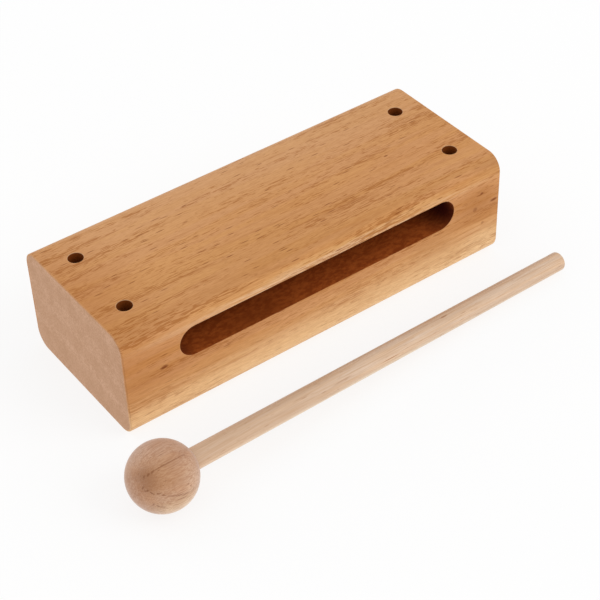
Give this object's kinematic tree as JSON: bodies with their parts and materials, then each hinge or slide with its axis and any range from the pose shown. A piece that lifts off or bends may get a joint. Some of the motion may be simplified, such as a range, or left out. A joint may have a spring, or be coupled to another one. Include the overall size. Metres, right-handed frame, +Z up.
{
  "type": "wood block with beater",
  "caption": "Solid wooden bar with rounded long edges, a deep slot under a thin roof and drilled ends, with a loose ball-headed beater lying in front of it.",
  "frame": {"origin": "centre of the block's underside, on the surface that it rests on", "axes": "+X along the block, +Y from the slotted front to the back, +Z up through the thin roof above the slot"},
  "size_m": [0.2139, 0.1174, 0.0476],
  "materials": {
    "block_wood": "warm tan hardwood with short dark vessel lines, thin satin oil finish, dark in the slot and the holes",
    "stick_wood": "pale bare dowel with fine straight grain, matt",
    "head_wood": "pinkish brown turned wood with grain along the stick, matt"
  },
  "bodies": {
    "block": {"resonator_block": "block_wood"},
    "beater": {"beater_stick": "stick_wood", "beater_head": "head_wood"}
  },
  "joints": [
    {"name": "beater_lift", "type": "slide", "parent": "block", "child": "beater", "axis": [0, 0, 1], "range_m": [0, 0.15]}
  ]
}
